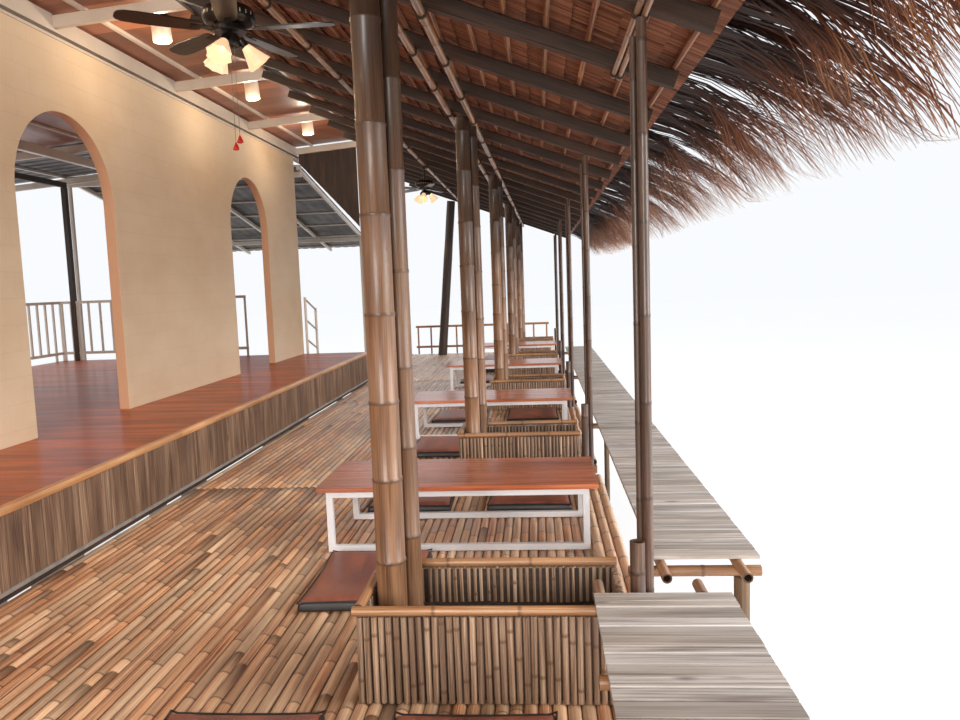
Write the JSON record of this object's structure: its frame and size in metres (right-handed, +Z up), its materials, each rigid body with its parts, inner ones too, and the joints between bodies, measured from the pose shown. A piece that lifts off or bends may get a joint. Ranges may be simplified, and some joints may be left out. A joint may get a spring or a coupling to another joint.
{
  "type": "stilt house",
  "caption": "Riverside bamboo veranda house on stilts: arched wall on a raised timber floor, thatched lean-to over a lower bamboo deck with low tables and a counter.",
  "frame": {"origin": "on the ground under the middle of the outline seen from above", "axes": "+X from the house towards the river, +Y along the deck towards the far canopy, +Z up"},
  "size_m": [10.757, 20.6588, 6.9244],
  "materials": {
    "stilt_wood": "matt",
    "concrete": "matt",
    "grey_steel": "satin",
    "dark_timber": "matt",
    "floor_boards": "gloss",
    "pale_bamboo": "satin",
    "weathered_boards": "matt",
    "zinc": "satin",
    "bamboo": "satin",
    "split_bamboo": "satin",
    "cream_paint": "matt",
    "white_steel": "satin",
    "plywood": "satin",
    "roof_metal": "satin",
    "dark_bamboo": "satin",
    "thatch": "matt",
    "pale_planks": "matt",
    "table_wood": "satin",
    "brown_leather": "satin",
    "lamp_glass": "satin",
    "dark_metal": "satin",
    "steel_chain": "satin",
    "red_plastic": "satin",
    "fan_brown": "satin"
  },
  "bodies": {
    "house": {"deck_stilts": "stilt_wood", "house_columns": "concrete", "house_beams": "grey_steel", "floor_joists": "dark_timber", "raised_floor": "floor_boards", "floor_nosing": "pale_bamboo", "floor_skirt": "weathered_boards", "skirt_strip": "zinc", "deck_bearers": "stilt_wood", "deck_joists": "bamboo", "deck_floor": "split_bamboo", "deck_edge_culms": "bamboo", "front_wall": "cream_paint", "wall_plate": "white_steel", "steel_rafters": "white_steel", "steel_purlins": "white_steel", "plywood_ceiling": "plywood", "roof_sheet": "roof_metal", "rear_frame": "white_steel", "land_posts": "dark_timber", "white_railing": "white_steel", "step_railing": "white_steel", "end_step": "floor_boards", "end_railing": "bamboo", "canopy_frame": "white_steel", "canopy_sheet": "roof_metal", "board_screen": "dark_timber", "inner_posts": "bamboo", "outer_posts": "dark_bamboo", "end_posts": "dark_timber", "lashed_poles": "bamboo", "thatch_ledger": "dark_timber", "thatch_rafters": "dark_bamboo", "thatch_battens": "split_bamboo", "thatch_cover": "thatch", "thatch_fringe": "thatch", "planter_boxes": "bamboo", "planter_rails": "bamboo", "counter_planks": "pale_planks", "counter_poles": "bamboo", "table_tops": "table_wood", "table_frames": "white_steel", "floor_cushions": "brown_leather", "downlights": "lamp_glass", "fan_mounts": "dark_metal", "fan_shades": "lamp_glass", "pull_chain_long": "steel_chain", "pull_chain_short": "steel_chain", "chain_tags": "red_plastic"},
    "fan_near": {"fan_rotor_near": "fan_brown"},
    "fan_far": {"fan_rotor_far": "fan_brown"}
  },
  "joints": [
    {"name": "fan_near_turn", "type": "hinge", "parent": "house", "child": "fan_near", "pos_m": [2.13452, -4.54921, 5.76103], "axis": [0, 0, 1], "continuous": true},
    {"name": "fan_far_turn", "type": "hinge", "parent": "house", "child": "fan_far", "pos_m": [2.13452, 2.65079, 5.76103], "axis": [0, 0, 1], "continuous": true}
  ]
}
